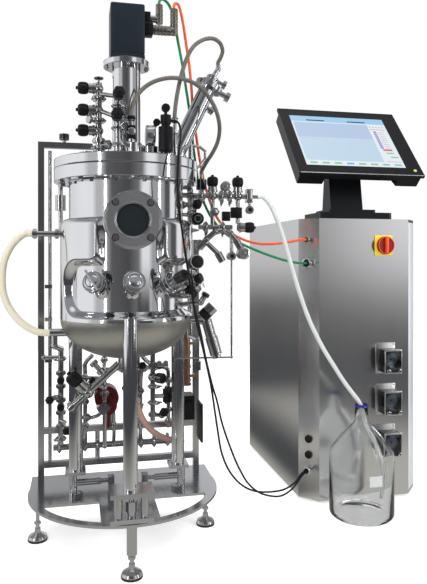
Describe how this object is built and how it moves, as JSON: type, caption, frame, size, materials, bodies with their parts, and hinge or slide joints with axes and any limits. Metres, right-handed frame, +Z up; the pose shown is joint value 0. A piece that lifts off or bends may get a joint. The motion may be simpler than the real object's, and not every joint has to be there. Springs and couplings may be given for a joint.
{
  "type": "stirred bioreactor with control cabinet",
  "caption": "Stirred steel fermenter vessel on a legged skid with valves, pipes and a top motor, hosed to a glass bottle and wired to a control cabinet with a tilting screen.",
  "frame": {"origin": "centre of the footprint's box, on the floor", "axes": "+Z up, +Y from the operator's side to the back, +X from the vessel skid towards the cabinet"},
  "size_m": [1.557, 1.1952, 1.7543],
  "materials": {
    "polished_steel": "polished stainless steel",
    "brushed_steel": "brushed stainless steel",
    "pipe_steel": "polished tube",
    "knob_plastic": "matt black",
    "black_plastic": "matt black",
    "monitor_plastic": "satin black",
    "screen": "lit screen",
    "sight_glass": "dark clear glass",
    "bottle_glass": "clear glass",
    "motor_paint": "dark grey paint",
    "pump_paint": "red paint",
    "copper_brown": "brown brazed plates",
    "cabinet_steel": "brushed stainless sheet",
    "stand_grey": "dark grey paint",
    "switch_yellow": "yellow",
    "switch_red": "red",
    "pump_head_plastic": "smoky black",
    "seal_rubber": "black",
    "hose_cream": "cream",
    "cable_green": "green",
    "cable_orange": "orange red",
    "cable_black": "black",
    "braid": "steel braid over rubber",
    "silicone": "clear silicone"
  },
  "bodies": {
    "skid_and_cabinet": {"base_plate": "brushed_steel", "levelling_feet": "brushed_steel", "support_legs": "polished_steel", "weigh_modules": "brushed_steel", "rear_frame": "brushed_steel", "service_pipes": "pipe_steel", "circulation_pump": "pump_paint", "heat_exchanger": "copper_brown", "control_box": "black_plastic", "vessel": "polished_steel", "jacket": "polished_steel", "lid": "polished_steel", "lid_seal": "seal_rubber", "flange_screws": "brushed_steel", "sight_glass_ring": "polished_steel", "sight_glass_pane": "sight_glass", "port_plugs": "pipe_steel", "sensor_probes": "pipe_steel", "baffles": "brushed_steel", "drain_valve": "pipe_steel", "motor_lantern": "polished_steel", "drive_motor": "motor_paint", "motor_connectors": "pipe_steel", "condenser": "polished_steel", "lid_sensors": "black_plastic", "feed_manifold": "pipe_steel", "outlet_manifold": "pipe_steel", "solenoid_coils": "black_plastic", "cabinet": "cabinet_steel", "cabinet_back": "cabinet_steel", "monitor_stand": "stand_grey", "switch_plate": "switch_yellow", "pump_heads": "pump_head_plastic", "cable_glands": "brushed_steel", "glass_bottle": "bottle_glass", "jacket_hose": "hose_cream", "green_cable": "cable_green", "orange_cable": "cable_orange", "foam_cable": "cable_black", "probe_cable": "cable_black", "vent_hose": "braid", "rinse_hose": "braid", "feed_hose": "silicone"},
    "agitator": {"agitator_shaft": "brushed_steel", "impellers": "brushed_steel"},
    "monitor": {"monitor_housing": "monitor_plastic", "monitor_screen": "screen"},
    "main_switch": {"switch_knob": "switch_red"},
    "drain_valve_knob": {"drain_knob": "knob_plastic"},
    "feed_valve_knob_1": {"feed_knob_1": "knob_plastic"},
    "feed_valve_knob_2": {"feed_knob_2": "knob_plastic"},
    "feed_valve_knob_3": {"feed_knob_3": "knob_plastic"},
    "feed_valve_knob_4": {"feed_knob_4": "knob_plastic"},
    "feed_valve_knob_5": {"feed_knob_5": "knob_plastic"},
    "outlet_valve_knob_1": {"outlet_knob_1": "knob_plastic"},
    "outlet_valve_knob_2": {"outlet_knob_2": "knob_plastic"},
    "outlet_valve_knob_3": {"outlet_knob_3": "knob_plastic"},
    "pump_rotor_1": {"pump_rotor_1": "brushed_steel"},
    "pump_rotor_2": {"pump_rotor_2": "brushed_steel"},
    "pump_rotor_3": {"pump_rotor_3": "brushed_steel"}
  },
  "joints": [
    {"name": "agitator_spin", "type": "hinge", "parent": "skid_and_cabinet", "child": "agitator", "pos_m": [-0.42825, -0.339, 1.24], "axis": [0, 0, 1], "continuous": true},
    {"name": "monitor_tilt", "type": "hinge", "parent": "skid_and_cabinet", "child": "monitor", "pos_m": [0.47975, 0.04397, 1.32595], "axis": [1, 0, 0], "range_deg": [-15, 25]},
    {"name": "main_switch_turn", "type": "hinge", "parent": "skid_and_cabinet", "child": "main_switch", "pos_m": [0.55675, -0.159, 0.963], "axis": [0, -1, 0], "range_deg": [-90, 0]},
    {"name": "feed_valve_knob_1_turn", "type": "hinge", "parent": "skid_and_cabinet", "child": "feed_valve_knob_1", "pos_m": [-0.55725, -0.399, 1.43], "axis": [-1, 0, 0], "range_deg": [0, 720]},
    {"name": "feed_valve_knob_2_turn", "type": "hinge", "parent": "skid_and_cabinet", "child": "feed_valve_knob_2", "pos_m": [-0.55725, -0.399, 1.364], "axis": [-1, 0, 0], "range_deg": [0, 720]},
    {"name": "feed_valve_knob_3_turn", "type": "hinge", "parent": "skid_and_cabinet", "child": "feed_valve_knob_3", "pos_m": [-0.55725, -0.399, 1.302], "axis": [-1, 0, 0], "range_deg": [0, 720]},
    {"name": "feed_valve_knob_4_turn", "type": "hinge", "parent": "skid_and_cabinet", "child": "feed_valve_knob_4", "pos_m": [-0.46125, -0.479, 1.4], "axis": [0, -1, 0], "range_deg": [0, 720]},
    {"name": "feed_valve_knob_5_turn", "type": "hinge", "parent": "skid_and_cabinet", "child": "feed_valve_knob_5", "pos_m": [-0.46625, -0.479, 1.338], "axis": [0, -1, 0], "range_deg": [0, 720]},
    {"name": "outlet_valve_knob_1_turn", "type": "hinge", "parent": "skid_and_cabinet", "child": "outlet_valve_knob_1", "pos_m": [-0.14925, -0.339, 1.158], "axis": [0, 0, 1], "range_deg": [0, 720]},
    {"name": "outlet_valve_knob_2_turn", "type": "hinge", "parent": "skid_and_cabinet", "child": "outlet_valve_knob_2", "pos_m": [-0.06425, -0.339, 1.158], "axis": [0, 0, 1], "range_deg": [0, 720]},
    {"name": "outlet_valve_knob_3_turn", "type": "hinge", "parent": "skid_and_cabinet", "child": "outlet_valve_knob_3", "pos_m": [-0.03125, -0.339, 1.016], "axis": [1, 0, 0], "range_deg": [0, 720]},
    {"name": "drain_valve_knob_turn", "type": "hinge", "parent": "skid_and_cabinet", "child": "drain_valve_knob", "pos_m": [-0.58413, -0.339, 0.53264], "axis": [-0.6899, 0, 0.7239], "range_deg": [0, 720]},
    {"name": "pump_rotor_1_spin", "type": "hinge", "parent": "skid_and_cabinet", "child": "pump_rotor_1", "pos_m": [0.56675, -0.179, 0.536], "axis": [0, -1, 0], "continuous": true},
    {"name": "pump_rotor_2_spin", "type": "hinge", "parent": "skid_and_cabinet", "child": "pump_rotor_2", "pos_m": [0.56675, -0.179, 0.381], "axis": [0, -1, 0], "continuous": true},
    {"name": "pump_rotor_3_spin", "type": "hinge", "parent": "skid_and_cabinet", "child": "pump_rotor_3", "pos_m": [0.56675, -0.179, 0.226], "axis": [0, -1, 0], "continuous": true}
  ]
}
